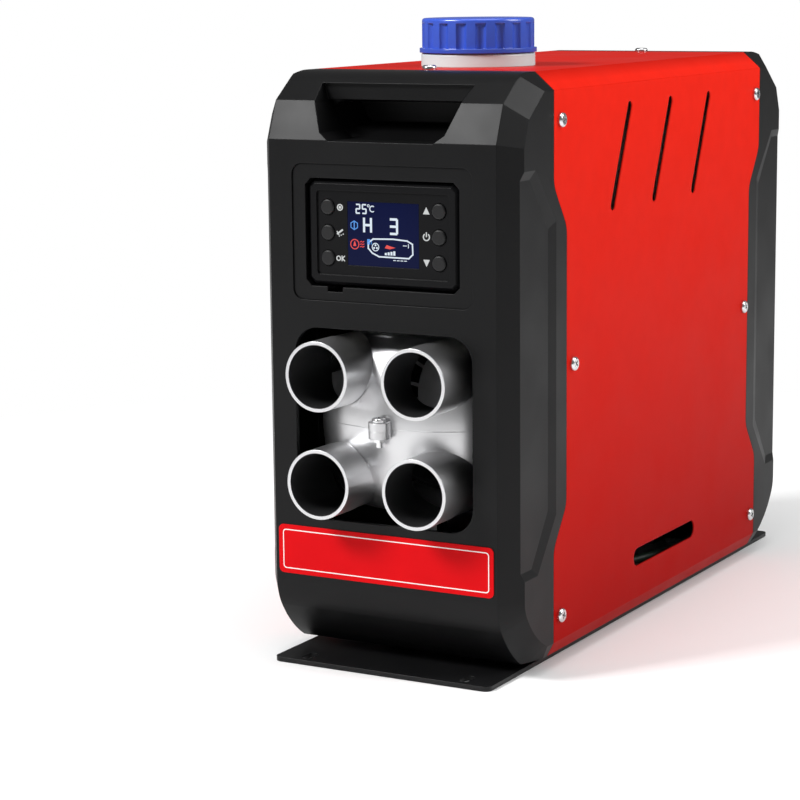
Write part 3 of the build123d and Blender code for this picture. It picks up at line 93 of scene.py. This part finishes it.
# Colours, linear
BLACK_MOULDING = (0.0042, 0.0042, 0.0045)
CONTROLLER_BLACK = (0.0035, 0.0035, 0.004)
RED_TOP = (0.74, 0.016, 0.006)
# The lower red and the roof red are painted shade: the side darker towards the base, the roof darker on
# top. The lower red also colours random specks.
RED_LOW_SHADE_AND_SPECK = (0.30, 0.0015, 0.0008)
RED_ROOF_PAINTED_SHADE = (0.46, 0.008, 0.003)
LABEL_RED = (0.62, 0.003, 0.006)
CAP_BLUE = (0.035, 0.095, 0.58)
# White collar; its blue-green tint is painted in to cancel the red light that bounces onto it from the
# body.
COLLAR_WHITE = (0.70, 0.86, 0.86)
SATIN_SILVER = (0.66, 0.66, 0.67)
SCREEN_BLUE = (0.0006, 0.0012, 0.006)
# Nearly black painted shade on the inner faces of the red sheet body.
INNER_PAINTED_SHADE = (0.012, 0.012, 0.012)
# Painted shade inside the four manifold tubes.
TUBE_PAINTED_SHADE = (0.022, 0.022, 0.023)


def socket(node, name, value):
    if isinstance(value, tuple) and len(value) == 3:
        value = (*value, 1.0)
    node.inputs[name].default_value = value


class Paint:
    """A Principled material with small helpers for the nodes that drive it."""

    def __init__(self, name, colour, rough, **sockets):
        self.material = bpy.data.materials.new(name)
        self.material.use_nodes = True
        self.tree = self.material.node_tree
        self.shader = self.tree.nodes["Principled BSDF"]
        socket(self.shader, "Base Color", colour)
        socket(self.shader, "Roughness", rough)
        for key, value in sockets.items():
            socket(self.shader, key.replace("_", " "), value)
        self.place = self.add("ShaderNodeTexCoord").outputs["Object"]
        self.normal = None

    def add(self, kind, **settings):
        node = self.tree.nodes.new(kind)
        for key, value in settings.items():
            setattr(node, key, value)
        return node

    def link(self, source, target):
        self.tree.links.new(source, target)

    def math(self, operation, first, second=0.0, third=0.0):
        node = self.add("ShaderNodeMath", operation=operation)
        for index, value in enumerate((first, second, third)):
            if isinstance(value, (int, float)):
                node.inputs[index].default_value = value
            else:
                self.link(value, node.inputs[index])
        return node.outputs[0]

    def noise(self, scale, detail=3.0):
        texture = self.add("ShaderNodeTexNoise")
        self.link(self.place, texture.inputs["Vector"])
        socket(texture, "Scale", scale)
        socket(texture, "Detail", detail)
        return texture.outputs["Fac"]

    def spread(self, value, low, high, start=0.3, end=0.7):
        node = self.add("ShaderNodeMapRange")
        self.link(value, node.inputs["Value"])
        for key, number in (("From Min", start), ("From Max", end), ("To Min", low), ("To Max", high)):
            socket(node, key, number)
        return node.outputs["Result"]

    def mix(self, factor, first, second):
        node = self.add("ShaderNodeMix", data_type="RGBA")
        self.link(factor, node.inputs["Factor"])
        for index, value in ((6, first), (7, second)):
            if isinstance(value, tuple):
                node.inputs[index].default_value = (*value, 1.0)
            else:
                self.link(value, node.inputs[index])
        return node.outputs[2]

    def drive(self, name, value):
        self.link(value, self.shader.inputs[name])

    def soften(self, radius):
        """Round the sharp edges in the shading by a small radius."""
        bevel = self.add("ShaderNodeBevel", samples=6)
        socket(bevel, "Radius", radius)
        self.normal = bevel.outputs[0]
        self.drive("Normal", self.normal)

    def bump(self, height, strength, distance):
        node = self.add("ShaderNodeBump")
        socket(node, "Strength", strength)
        socket(node, "Distance", distance)
        self.link(height, node.inputs["Height"])
        if self.normal is not None:
            self.link(self.normal, node.inputs["Normal"])
        self.normal = node.outputs[0]
        self.drive("Normal", self.normal)

    def height_fraction(self, low, high):
        axes = self.add("ShaderNodeSeparateXYZ")
        self.link(self.place, axes.inputs[0])
        return self.spread(axes.outputs["Z"], 0.0, 1.0, low, high)


def moulded(name, colour, rough, grain=1400.0, edge=0.6 * MM, strength=0.25, **sockets):
    """Moulded plastic: fine grain, faint mottling and softly rounded edges."""
    paint = Paint(name, colour, rough, **sockets)
    paint.soften(edge)
    paint.bump(paint.noise(grain, 4.0), strength, 0.05 * MM)
    paint.drive("Roughness", paint.spread(paint.noise(25.0), rough - 0.04, rough + 0.05))
    darker = tuple(0.86 * part for part in colour)
    paint.drive("Base Color", paint.mix(paint.noise(60.0, 6.0), darker, colour))
    return paint


def metal(name, colour, rough, scale=2500.0, edge=0.2 * MM, strength=0.03):
    """Bare or plated metal with fine marks."""
    paint = Paint(name, colour, rough, Metallic=1.0)
    paint.soften(edge)
    marks = paint.noise(scale, 4.0)
    paint.bump(marks, strength, 0.03 * MM)
    paint.drive("Roughness", paint.spread(marks, rough - 0.05, rough + 0.08))
    darker = tuple(0.88 * part for part in colour)
    paint.drive("Base Color", paint.mix(paint.noise(35.0), darker, colour))
    return paint


def inner_side(paint):
    """One on the inner faces of the sheet body, and nought on its outer faces."""
    axes = paint.add("ShaderNodeSeparateXYZ")
    paint.link(paint.place, axes.inputs[0])
    sideways = paint.math("ABSOLUTE", axes.outputs["X"])
    height = axes.outputs["Z"]
    wall = paint.math("LESS_THAN", sideways, SHELL_HALF - SHEET_SKIN)
    wall = paint.math("MULTIPLY", wall, paint.math("LESS_THAN", height, SHELL_TOP - ROOF_BEND))
    wall = paint.math("MULTIPLY", wall, paint.math("GREATER_THAN", height, SHELL_LOW + FLOOR_BEND))
    roof = paint.math("LESS_THAN", height, SHELL_TOP - SHEET_SKIN)
    roof = paint.math("MULTIPLY", roof, paint.math("GREATER_THAN", height, SHELL_TOP - ROOF_DEPTH))
    roof = paint.math("MULTIPLY", roof, paint.math("LESS_THAN", sideways, SHELL_HALF - ROOF_INSET))
    return paint.math("MAXIMUM", wall, roof)


def red_paint():
    """Powder coat with orange peel; painted shade darkens it towards the base and on the roof, and makes
    its inner faces nearly black.
    """
    paint = Paint("red_powder_coat_and_painted_shade", RED_TOP, 0.40, Specular_IOR_Level=0.02)
    paint.soften(1.0 * MM)
    paint.bump(paint.noise(420.0, 2.0), 0.12, 0.08 * MM)
    # Painted shade: darker towards the base by height, and darker again on the top of the roof.
    fraction = paint.height_fraction(SHELL_LOW, SHELL_TOP)
    shaded_tone = paint.mix(fraction, RED_LOW_SHADE_AND_SPECK, RED_TOP)
    speck = paint.spread(paint.noise(90.0, 5.0), 0.0, 0.10)
    coat = paint.mix(speck, shaded_tone, RED_LOW_SHADE_AND_SPECK)
    coat = paint.mix(paint.height_fraction(SHELL_TOP - ROOF_BLEND, SHELL_TOP), coat, RED_ROOF_PAINTED_SHADE)
    # Painted shade: the inner faces of the sheet body are made nearly black.
    paint.drive("Base Color", paint.mix(inner_side(paint), coat, INNER_PAINTED_SHADE))
    paint.drive("Roughness", paint.spread(paint.noise(30.0), 0.34, 0.44))
    return paint


def manifold_silver():
    """Satin silver, with painted shade inside the four tubes, where the surface is made dark and not
    metallic.
    """
    paint = metal("satin_silver", SATIN_SILVER, 0.34, 3500.0, 0.5 * MM, 0.02)
    axes = paint.add("ShaderNodeSeparateXYZ")
    paint.link(paint.place, axes.inputs[0])
    across = paint.math("SUBTRACT", paint.math("ABSOLUTE", axes.outputs["X"]), TUBE_OFFSET)
    rise = paint.math("ABSOLUTE", paint.math("SUBTRACT", axes.outputs["Z"], OUTLET_Z))
    rise = paint.math("SUBTRACT", rise, TUBE_OFFSET)
    squares = paint.math("ADD", paint.math("MULTIPLY", across, across), paint.math("MULTIPLY", rise, rise))
    # Painted shade: inside the tube bores the silver is made dark and not metallic.
    inside = paint.math("LESS_THAN", squares, (TUBE_BORE + 0.2 * MM) ** 2)
    bare = paint.shader.inputs["Base Color"].links[0].from_socket
    paint.drive("Base Color", paint.mix(inside, bare, TUBE_PAINTED_SHADE))
    paint.drive("Metallic", paint.math("SUBTRACT", 1.0, inside))
    return paint


def lit_screen():
    """Deep blue display behind a hard clear front."""
    paint = Paint("lit_screen", SCREEN_BLUE, 0.15, Specular_IOR_Level=0.08, Emission_Strength=1.0)
    glow = paint.mix(paint.noise(22.0, 1.0), (0.0004, 0.0012, 0.012), (0.0012, 0.004, 0.045))
    paint.drive("Emission Color", glow)
    paint.bump(paint.noise(60.0), 0.02, 0.02 * MM)
    return paint


def glowing(name, colour, strength):
    """Lit segments, with a faint unevenness of the back light; the key signs use it too, as a painted glow
    on print.
    """
    paint = Paint(name, (0.02, 0.02, 0.02), 0.5, Emission_Strength=strength)
    dim = tuple(0.8 * part for part in colour)
    paint.drive("Emission Color", paint.mix(paint.noise(240.0), dim, colour))
    return paint


def printed(name, colour):
    """Flat printed ink."""
    paint = Paint(name, colour, 0.5)
    dim = tuple(0.9 * part for part in colour)
    paint.drive("Base Color", paint.mix(paint.noise(900.0), dim, colour))
    return paint


def make_materials():
    black = moulded("black_moulding", BLACK_MOULDING, 0.40, Specular_IOR_Level=0.16)
    controller = moulded("controller_moulding", CONTROLLER_BLACK, 0.34, 1800.0, 0.4 * MM, 0.15,
                         Specular_IOR_Level=0.12)
    rubber = moulded("black_rubber", (0.012, 0.012, 0.012), 0.6, 900.0, 0.4 * MM, 0.3)
    zinc = metal("zinc_steel", (0.58, 0.59, 0.62), 0.34)
    alloy = metal("cast_alloy", (0.50, 0.50, 0.51), 0.5, 300.0, 0.5 * MM, 0.5)
    board = moulded("green_board", (0.01, 0.10, 0.03), 0.4)
    return {
        "black_moulding": black,
        "controller_moulding": controller,
        "red_paint": red_paint(),
        "black_paint": moulded("black_powder_coat", (0.006, 0.006, 0.0065), 0.42, 2400.0, 0.5 * MM, 0.15,
                               Specular_IOR_Level=0.25),
        "silver_manifold": manifold_silver(),
        "cast_alloy": alloy,
        "plated_screw": metal("bright_nickel", (0.72, 0.72, 0.73), 0.20, edge=0.2 * MM, strength=0.02),
        "zinc_steel": zinc,
        "blue_cap": moulded("blue_cap", CAP_BLUE, 0.22, 700.0, 0.6 * MM, 0.04, Specular_IOR_Level=0.8),
        "white_collar": moulded("white_collar", COLLAR_WHITE, 0.32, 700.0, 0.6 * MM, 0.08),
        "tank_moulding": moulded("tank_moulding", (0.72, 0.72, 0.64), 0.5, 600.0),
        "red_label": moulded("red_label", LABEL_RED, 0.34, 500.0, 0.2 * MM, 0.04,
                             Specular_IOR_Level=0.05),
        "button_rubber": moulded("button_rubber", (0.006, 0.006, 0.0065), 0.42, 1600.0, 0.5 * MM, 0.2,
                                 Specular_IOR_Level=0.3),
        "screen_glass": lit_screen(),
        "display": moulded("display", (0.02, 0.02, 0.06), 0.3),
        "green_board": board,
        "black_rubber": rubber,
        "red_silicone": moulded("red_silicone", (0.35, 0.02, 0.01), 0.6),
        "inner_moulding": moulded("inner_moulding", (0.03, 0.03, 0.032), 0.55),
        "fuel_hose": moulded("fuel_hose", (0.010, 0.022, 0.012), 0.4, 500.0),
        "motor_steel": metal("motor_steel", (0.12, 0.12, 0.13), 0.45),
    }


def dress_nodes(materials):
    for part in frame["record"]["subparts"]:
        data = nodes[part["node"]].data
        data.materials.clear()
        data.materials.append(materials[part["material_slot"]].material)


class Shapes:
    """Thin raised shapes on a face that looks towards -Y, drawn in millimetres from a middle."""

    def __init__(self, name, material, middle, thick):
        self.name = name
        self.material = material
        self.middle = middle
        self.thick = thick
        self.verts = []
        self.faces = []

    def outline(self, points):
        """A closed convex outline, given anticlockwise as (X, Z)."""
        first = len(self.verts)
        count = len(points)
        x0, y0, z0 = self.middle
        for depth in (0.0, self.thick):
            self.verts += [(x0 + x * MM, y0 - depth, z0 + z * MM) for x, z in points]
        self.faces.append([first + count + index for index in range(count)])
        for index in range(count):
            after = (index + 1) % count
            self.faces.append([first + index, first + after, first + count + after, first + count + index])

    def band(self, outer, inner):
        """The strip between two outlines with the same number of points."""
        count = len(outer)
        for index in range(count):
            after = (index + 1) % count
            self.outline([inner[index], outer[index], outer[after], inner[after]])

    def bar(self, x0, z0, x1, z1):
        self.outline([(x0, z0), (x1, z0), (x1, z1), (x0, z1)])

    def line(self, points, width):
        """A line of short straight strokes with square ends."""
        for (xa, za), (xb, zb) in zip(points, points[1:]):
            along = Vector((xb - xa, zb - za)).normalized() * width / 2
            side = Vector((-along.y, along.x))
            corners = [(xa - along.x - side.x, za - along.y - side.y),
                       (xb + along.x - side.x, zb + along.y - side.y),
                       (xb + along.x + side.x, zb + along.y + side.y),
                       (xa - along.x + side.x, za - along.y + side.y)]
            self.outline(corners)

    def ring(self, x, z, radius, width, start=0.0, end=360.0, steps=24):
        """A round or partly open ring, in short flat pieces."""
        def arc(reach):
            turns = [radians(start + (end - start) * index / steps) for index in range(steps + 1)]
            return [(x + reach * cos(turn), z + reach * sin(turn)) for turn in turns]

        outer = arc(radius + width / 2)
        inner = arc(radius - width / 2)
        for index in range(steps):
            self.outline([inner[index], outer[index], outer[index + 1], inner[index + 1]])

    def dot(self, x, z, radius, sides=20):
        turns = [2 * pi * index / sides for index in range(sides)]
        self.outline([(x + radius * cos(turn), z + radius * sin(turn)) for turn in turns])

    def digit(self, x, z, wide, tall, stroke, segments):
        """Seven-segment figure; segments are named a to g as usual."""
        gap = stroke * 0.45
        left, right, low, high = x - wide / 2, x + wide / 2, z - tall / 2, z + tall / 2
        lines = {
            "a": ((left, high), (right, high)), "b": ((right, high), (right, z)),
            "c": ((right, z), (right, low)), "d": ((left, low), (right, low)),
            "e": ((left, z), (left, low)), "f": ((left, high), (left, z)), "g": ((left, z), (right, z)),
        }
        for key in segments:
            (xa, za), (xb, zb) = lines[key]
            if za == zb:
                self.line([(xa + gap, za), (xb - gap, zb)], stroke)
            else:
                self.line([(xa, za - gap), (xb, zb + gap)], stroke)

    def make(self, slot_name):
        mesh = bpy.data.meshes.new(self.name)
        mesh.from_pydata(self.verts, [], self.faces)
        mesh.materials.append(self.material.material)
        piece = bpy.data.objects.new(self.name, mesh)
        bpy.context.scene.collection.objects.link(piece)
        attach(piece, "root")
        return piece


def rounded(wide, tall, radius, steps=6):
    """Outline of a rounded rectangle about the middle, anticlockwise."""
    points = []
    for corner, (sx, sz) in enumerate(((1, 1), (-1, 1), (-1, -1), (1, -1))):
        for index in range(steps + 1):
            turn = pi / 2 * (corner + index / steps)
            points.append((sx * (wide / 2 - radius) + radius * cos(turn),
                           sz * (tall / 2 - radius) + radius * sin(turn)))
    return points


def screen_graphics():
    """Lit signs on the display: temperature, mode, level and a small drawing of a heater."""
    low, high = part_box("screen_window")
    middle = ((low[0] + high[0]) / 2, low[1], (low[2] + high[2]) / 2)
    white = Shapes("screen_signs_white", glowing("lit_white", (0.75, 0.85, 0.95), 1.0), middle, LIT_PROUD)
    blue = Shapes("screen_signs_blue", glowing("lit_blue", (0.05, 0.30, 0.85), 1.0), middle, LIT_PROUD)
    red = Shapes("screen_signs_red", glowing("lit_red", (0.85, 0.03, 0.02), 1.0), middle, LIT_PROUD)

    white.digit(-15.0, 13.2, 2.2, 4.6, 0.75, "abged")
    white.digit(-11.2, 13.2, 2.2, 4.6, 0.75, "afgcd")
    white.ring(-8.7, 15.0, 0.6, 0.35)
    white.ring(-6.3, 13.4, 1.5, 0.55, 50.0, 310.0)
    white.digit(-9.3, 4.8, 4.2, 7.6, 1.25, "bcefg")
    white.digit(6.4, 4.6, 4.2, 7.6, 1.25, "abgcd")
    white.line([(-9.0, -4.6), (-6.0, -2.4), (6.0, -2.0), (14.5, -2.6), (17.6, -4.2), (17.8, -9.6),
                (15.4, -11.8), (-2.5, -11.6), (-6.6, -9.8), (-9.0, -7.4), (-9.0, -4.6)], 0.75)
    white.ring(-4.6, -6.6, 2.0, 0.45)
    for index in range(3):
        turn = radians(90 + 120 * index)
        white.dot(-4.6 + 0.95 * cos(turn), -6.6 + 0.95 * sin(turn), 0.55, 10)
    for index in range(4):
        white.bar(1.0 + 1.7 * index, -10.6, 2.2 + 1.7 * index, -9.4 + 0.35 * index)
    white.line([(15.2, -4.4), (15.2, -6.2)], 0.4)
    white.line([(12.2, -5.2), (14.0, -5.2)], 0.4)
    for index in range(4):
        white.line([(6.2 + 2.2 * index, -13.2), (7.4 + 2.2 * index, -13.2)], 0.4)

    blue.ring(-17.4, 4.4, 2.3, 0.55, 30.0, 390.0, 6)
    blue.line([(-17.4, 6.0), (-17.4, 2.8)], 0.6)
    blue.bar(-9.6, -5.4, -7.9, -2.6)
    blue.line([(-7.6, -3.0), (-7.0, -3.6), (-7.0, -5.2)], 0.3)

    red.ring(-17.2, -5.6, 2.5, 0.5)
    red.outline([(-17.2 - 0.9, -6.6), (-17.2 + 0.9, -6.6), (-17.2 + 0.5, -5.0), (-17.2, -3.7),
                 (-17.2 - 0.6, -5.2)])
    for index in range(3):
        z = -6.9 + 1.3 * index
        red.line([(-13.9, z), (-13.2, z + 0.35), (-12.4, z - 0.1), (-11.6, z + 0.35)], 0.4)
    red.outline([(1.0, -6.9), (4.0, -7.4), (7.4, -6.5), (4.6, -5.9), (2.2, -5.2)])
    for piece in (white, blue, red):
        piece.make("display")


def key_signs():
    """White printed signs beside the six keys, made to glow as painted light."""
    low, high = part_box("button_pump")
    face_y = low[1] + KEY_PROUD
    # Painted light: the printed key signs glow by their own emission.
    glowing_print_white = glowing("key_print_painted_glow", (0.62, 0.64, 0.64), 1.0)
    panel_z = (low[2] + high[2]) / 2
    signs = Shapes("key_signs", glowing_print_white, (0.0, face_y, panel_z), SIGN_PROUD)
    pitch = KEY_PITCH
    side = SIGN_COLUMN
    signs.ring(-side, pitch, 1.5, 0.6)
    signs.dot(-side, pitch, 0.75)
    signs.line([(-side - 1.6, -0.4), (-side + 1.2, 1.5)], 0.9)
    signs.line([(-side - 1.9, 0.7), (-side - 0.9, -0.9)], 0.5)
    for drop in range(3):
        signs.dot(-side - 0.6 + 1.2 * drop, -1.7 + 0.55 * drop, 0.32, 10)
    signs.ring(-side - 1.2, -pitch, 1.15, 0.55)
    signs.line([(-side + 0.9, -pitch - 1.2), (-side + 0.9, -pitch + 1.2)], 0.55)
    signs.line([(-side + 2.4, -pitch + 1.2), (-side + 1.1, -pitch), (-side + 2.4, -pitch - 1.2)], 0.55)
    signs.outline([(side - 1.9, pitch - 1.7), (side + 1.9, pitch - 1.7), (side, pitch + 2.0)])
    signs.ring(side, 0.0, 1.8, 0.6, 125.0, 415.0)
    signs.line([(side, 0.3), (side, 2.2)], 0.6)
    signs.outline([(side - 1.9, -pitch + 1.7), (side, -pitch - 2.0), (side + 1.9, -pitch + 1.7)])
    signs.make("controller_moulding")


def label_border():
    """White line round the bare label."""
    low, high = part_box("label_plate")
    middle = ((low[0] + high[0]) / 2, low[1], (low[2] + high[2]) / 2)
    wide = (high[0] - low[0]) / MM
    tall = (high[2] - low[2]) / MM
    border = Shapes("label_border", printed("label_print", (0.85, 0.80, 0.78)), middle, BORDER_PROUD)
    outer = 2 * BORDER_INSET
    inner = 2 * (BORDER_INSET + BORDER_WIDTH)
    border.band(rounded(wide - outer, tall - outer, 2.0), rounded(wide - inner, tall - inner, 1.5))
    border.make("red_label")


def make_camera():
    yaw, pitch, roll = CAMERA_YAW, CAMERA_PITCH, CAMERA_ROLL
    ahead = Vector((-sin(yaw) * cos(pitch), cos(yaw) * cos(pitch), -sin(pitch)))
    right = Vector((cos(yaw), sin(yaw), 0.0))
    up = right.cross(ahead)
    turned_right = right * cos(roll) + up * sin(roll)
    turned_up = up * cos(roll) - right * sin(roll)
    data = bpy.data.cameras.new("camera")
    data.lens = CAMERA_LENS
    data.sensor_width = SENSOR
    data.sensor_fit = "HORIZONTAL"
    camera = bpy.data.objects.new("camera", data)
    axes = Matrix((turned_right, turned_up, -ahead)).transposed().to_4x4()
    camera.matrix_world = Matrix.Translation(CAMERA_PLACE) @ axes
    bpy.context.scene.collection.objects.link(camera)
    bpy.context.scene.camera = camera


def soft_light(name, place, target, size, watts):
    data = bpy.data.lights.new(name, "AREA")
    data.shape = "RECTANGLE"
    data.size, data.size_y = size
    data.energy = watts
    lamp = bpy.data.objects.new(name, data)
    lamp.location = place
    aim = Vector(target) - Vector(place)
    lamp.rotation_euler = aim.to_track_quat("-Z", "Y").to_euler()
    bpy.context.scene.collection.objects.link(lamp)


def make_lights():
    for name, place, size, watts in LAMPS:
        soft_light(name, place, LIT_MIDDLE, size, watts)


def make_world():
    """White surroundings seen directly, and a softer fill for everything else."""
    world = bpy.data.worlds.new("studio")
    world.use_nodes = True
    tree = world.node_tree
    tree.nodes.clear()
    output = tree.nodes.new("ShaderNodeOutputWorld")
    path = tree.nodes.new("ShaderNodeLightPath")
    seen = tree.nodes.new("ShaderNodeMath")
    seen.operation = "MAXIMUM"
    tree.links.new(path.outputs["Is Camera Ray"], seen.inputs[0])
    tree.links.new(path.outputs["Is Transmission Ray"], seen.inputs[1])
    fill = tree.nodes.new("ShaderNodeBackground")
    fill.inputs["Strength"].default_value = FILL_STRENGTH
    backdrop = tree.nodes.new("ShaderNodeBackground")
    for node in (fill, backdrop):
        node.inputs["Color"].default_value = WHITE
    mixed = tree.nodes.new("ShaderNodeMixShader")
    tree.links.new(seen.outputs[0], mixed.inputs[0])
    tree.links.new(fill.outputs[0], mixed.inputs[1])
    tree.links.new(backdrop.outputs[0], mixed.inputs[2])
    tree.links.new(mixed.outputs[0], output.inputs["Surface"])
    bpy.context.scene.world = world


def whiten_far_floor(paint):
    """Away from the object the floor is plain white where it is seen directly."""
    length = paint.add("ShaderNodeVectorMath", operation="LENGTH")
    paint.link(paint.place, length.inputs[0])
    far = paint.spread(length.outputs["Value"], 0.0, 1.0, FLOOR_NEAR, FLOOR_FAR)
    path = paint.add("ShaderNodeLightPath")
    seen = paint.math("MAXIMUM", path.outputs["Is Camera Ray"], path.outputs["Is Transmission Ray"])
    white = paint.add("ShaderNodeEmission")
    white.inputs["Color"].default_value = WHITE
    mixed = paint.add("ShaderNodeMixShader")
    paint.link(paint.math("MULTIPLY", far, seen), mixed.inputs[0])
    paint.link(paint.shader.outputs[0], mixed.inputs[1])
    paint.link(white.outputs[0], mixed.inputs[2])
    paint.link(mixed.outputs[0], paint.tree.nodes["Material Output"].inputs["Surface"])


def make_floor():
    half = FLOOR_HALF
    low = -FLOOR_DROP
    mesh = bpy.data.meshes.new("floor")
    mesh.from_pydata([(-half, -half, low), (half, -half, low), (half, half, low), (-half, half, low)],
                     [], [(0, 1, 2, 3)])
    floor = bpy.data.objects.new("floor", mesh)
    bpy.context.scene.collection.objects.link(floor)
    paint = Paint("pale_floor", (0.93, 0.93, 0.93), 0.8)
    paint.drive("Base Color", paint.mix(paint.noise(4.0), (0.92, 0.92, 0.92), (0.94, 0.94, 0.94)))
    whiten_far_floor(paint)
    mesh.materials.append(paint.material)


make_camera()
make_world()
make_lights()
make_floor()
dress_nodes(make_materials())
screen_graphics()
key_signs()
label_border()
bpy.context.scene.view_settings.view_transform = "Standard"
